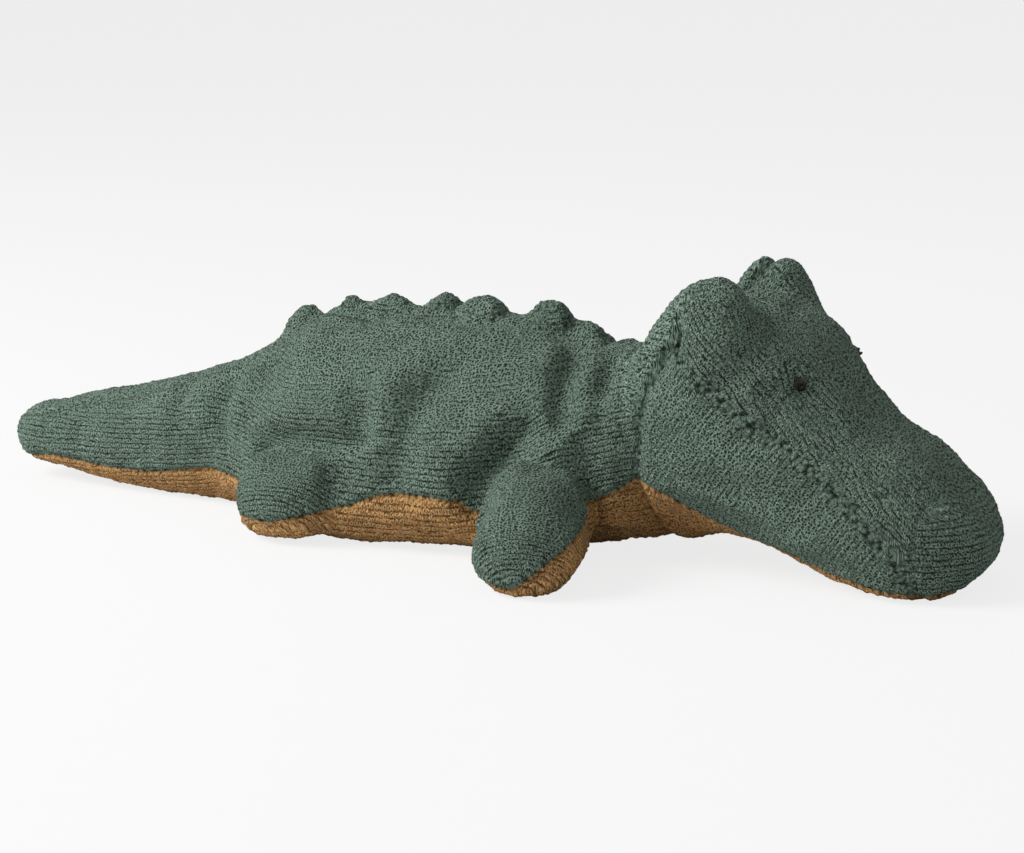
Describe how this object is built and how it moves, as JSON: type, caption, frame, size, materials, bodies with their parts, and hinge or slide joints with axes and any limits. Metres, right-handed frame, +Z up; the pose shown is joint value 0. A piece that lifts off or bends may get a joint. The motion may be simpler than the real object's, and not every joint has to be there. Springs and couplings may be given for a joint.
{
  "type": "plush crocodile",
  "caption": "Stuffed terry-cloth crocodile lying on its belly, with a scuted back, eye bumps, short legs and a tapering tail that flex at their seams.",
  "frame": {"origin": "centre of the bounding box at floor level, under the belly", "axes": "+X from the tail to the nose, +Z up; the toy's right side faces -Y"},
  "size_m": [0.4016, 0.1724, 0.102],
  "materials": {
    "green_terry": "looped terry cloth, matte grey green",
    "ochre_terry": "looped terry cloth, matte ochre",
    "black_thread": "knotted cotton thread",
    "stuffing": "loose polyester fibre"
  },
  "bodies": {
    "torso": {"torso_stuffing": "stuffing", "back_cover_left": "green_terry", "back_cover_right": "green_terry", "belly_cover": "ochre_terry", "spine_scute_1": "green_terry", "spine_scute_2": "green_terry", "spine_scute_3": "green_terry", "spine_scute_4": "green_terry", "spine_scute_5": "green_terry", "spine_scute_6": "green_terry", "spine_scute_7": "green_terry"},
    "tail_root": {"tail_root_stuffing": "stuffing", "tail_root_top_cover": "green_terry", "tail_root_under_cover": "ochre_terry"},
    "tail_tip": {"tail_tip_stuffing": "stuffing", "tail_tip_top_cover": "green_terry", "tail_tip_under_cover": "ochre_terry"},
    "neck": {"neck_stuffing": "stuffing", "nape_cover": "green_terry", "throat_cover": "ochre_terry"},
    "head": {"head_stuffing": "stuffing", "snout_cover": "green_terry", "cheek_cover_left": "green_terry", "cheek_cover_right": "green_terry", "jaw_cover": "ochre_terry", "eye_bump_front_left": "green_terry", "eye_bump_rear_left": "green_terry", "eye_bump_front_right": "green_terry", "eye_bump_rear_right": "green_terry", "eye_left": "black_thread", "eye_right": "black_thread"},
    "front_leg_left": {"front_leg_left_stuffing": "stuffing", "front_leg_left_top_cover": "green_terry", "front_leg_left_sole_cover": "ochre_terry"},
    "front_leg_right": {"front_leg_right_stuffing": "stuffing", "front_leg_right_top_cover": "green_terry", "front_leg_right_sole_cover": "ochre_terry"},
    "rear_leg_left": {"rear_leg_left_stuffing": "stuffing", "rear_leg_left_top_cover": "green_terry", "rear_leg_left_sole_cover": "ochre_terry"},
    "rear_leg_right": {"rear_leg_right_stuffing": "stuffing", "rear_leg_right_top_cover": "green_terry", "rear_leg_right_sole_cover": "ochre_terry"}
  },
  "joints": [
    {"name": "tail_swing", "type": "hinge", "parent": "torso", "child": "tail_root", "pos_m": [-0.08884, 0, 0.026], "axis": [0, 0, 1], "range_deg": [-25, 25], "stiffness_Nm_per_rad": 0.12},
    {"name": "tail_curl", "type": "hinge", "parent": "tail_root", "child": "tail_tip", "pos_m": [-0.15084, 0, 0.019], "axis": [0, 0, 1], "range_deg": [-30, 30], "stiffness_Nm_per_rad": 0.06},
    {"name": "neck_turn", "type": "hinge", "parent": "torso", "child": "neck", "pos_m": [0.07316, 0, 0.042], "axis": [0, 0, 1], "range_deg": [-16, 16], "stiffness_Nm_per_rad": 0.3},
    {"name": "head_nod", "type": "hinge", "parent": "neck", "child": "head", "pos_m": [0.07316, 0, 0.042], "axis": [-0.0698, -0.9976, 0], "range_deg": [0, 15], "stiffness_Nm_per_rad": 0.1},
    {"name": "front_leg_left_swing", "type": "hinge", "parent": "torso", "child": "front_leg_left", "pos_m": [0.05016, 0.048, 0.016], "axis": [0, 0, 1], "range_deg": [-20, 20], "stiffness_Nm_per_rad": 0.08},
    {"name": "front_leg_right_swing", "type": "hinge", "parent": "torso", "child": "front_leg_right", "pos_m": [0.05016, -0.048, 0.016], "axis": [0, 0, 1], "range_deg": [-20, 20], "stiffness_Nm_per_rad": 0.08},
    {"name": "rear_leg_left_swing", "type": "hinge", "parent": "torso", "child": "rear_leg_left", "pos_m": [-0.05184, 0.038, 0.014], "axis": [0, 0, 1], "range_deg": [-20, 20], "stiffness_Nm_per_rad": 0.08},
    {"name": "rear_leg_right_swing", "type": "hinge", "parent": "torso", "child": "rear_leg_right", "pos_m": [-0.05184, -0.038, 0.014], "axis": [0, 0, 1], "range_deg": [-20, 20], "stiffness_Nm_per_rad": 0.08}
  ]
}
